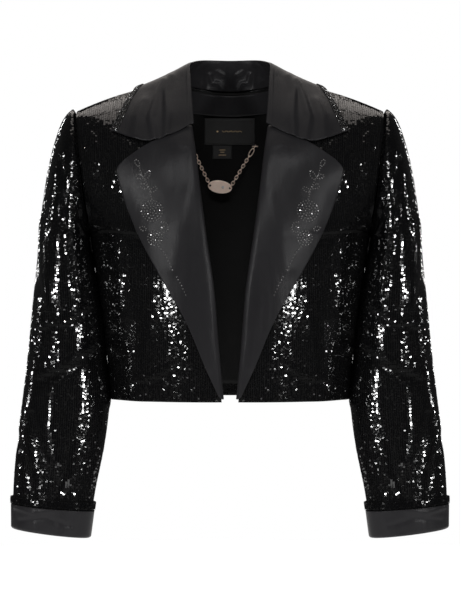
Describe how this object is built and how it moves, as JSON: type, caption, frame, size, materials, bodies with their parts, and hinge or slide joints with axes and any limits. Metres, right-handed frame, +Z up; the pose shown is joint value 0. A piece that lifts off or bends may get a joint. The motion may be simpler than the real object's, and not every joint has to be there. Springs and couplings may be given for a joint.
{
  "type": "matador jacket",
  "caption": "Cropped black sequin evening jacket in the matador cut, with satin lapels, collar and cuffs and a hanger chain, filled out as worn.",
  "frame": {"origin": "between the shoulders, at the height of the side neck, midway between the left and right neck points", "axes": "+Z up as worn, +Y towards the back, -X on the wearer's right"},
  "size_m": [0.5922, 0.2274, 0.653],
  "materials": {
    "sequin_cloth": "black sequins sewn in upright rows on black cloth",
    "satin": "black satin",
    "lining": "black lining",
    "label": null,
    "rose_gold": "polished, pale rose gold",
    "gem": "clear cut glass"
  },
  "bodies": {
    "jacket": {"front_right": "sequin_cloth", "front_left": "sequin_cloth", "back": "sequin_cloth", "sleeve_right": "sequin_cloth", "sleeve_left": "sequin_cloth", "cuff_trim_right": "sequin_cloth", "cuff_trim_left": "sequin_cloth", "cuff_right": "satin", "cuff_left": "satin", "lapel_right": "satin", "lapel_left": "satin", "collar": "satin", "back_lining": "lining", "back_neck_facing": "satin", "label": "label", "size_tab": "label", "chain_staple_right": "rose_gold", "chain_staple_left": "rose_gold"},
    "hanger_chain": {"chain_plate": "rose_gold", "chain_gem": "gem", "chain_link_right_1": "rose_gold", "chain_link_right_2": "rose_gold", "chain_link_right_3": "rose_gold", "chain_link_right_4": "rose_gold", "chain_link_right_5": "rose_gold", "chain_link_right_6": "rose_gold", "chain_link_right_7": "rose_gold", "chain_link_right_8": "rose_gold", "chain_link_right_9": "rose_gold", "chain_link_right_10": "rose_gold", "chain_link_right_11": "rose_gold", "chain_link_right_12": "rose_gold", "chain_link_right_13": "rose_gold", "chain_ring_left": "rose_gold", "chain_clasp": "rose_gold", "chain_link_left_1": "rose_gold", "chain_link_left_2": "rose_gold", "chain_link_left_3": "rose_gold", "chain_link_left_4": "rose_gold", "chain_link_left_5": "rose_gold", "chain_link_left_6": "rose_gold", "chain_link_left_7": "rose_gold", "chain_link_left_8": "rose_gold", "chain_link_left_9": "rose_gold", "chain_link_left_10": "rose_gold", "chain_link_left_11": "rose_gold"}
  },
  "joints": [
    {"name": "chain_swing", "type": "hinge", "parent": "jacket", "child": "hanger_chain", "pos_m": [-0.0095, 0.0755, -0.0734], "axis": [-1, 0, 0], "range_deg": [-8, 155]}
  ]
}
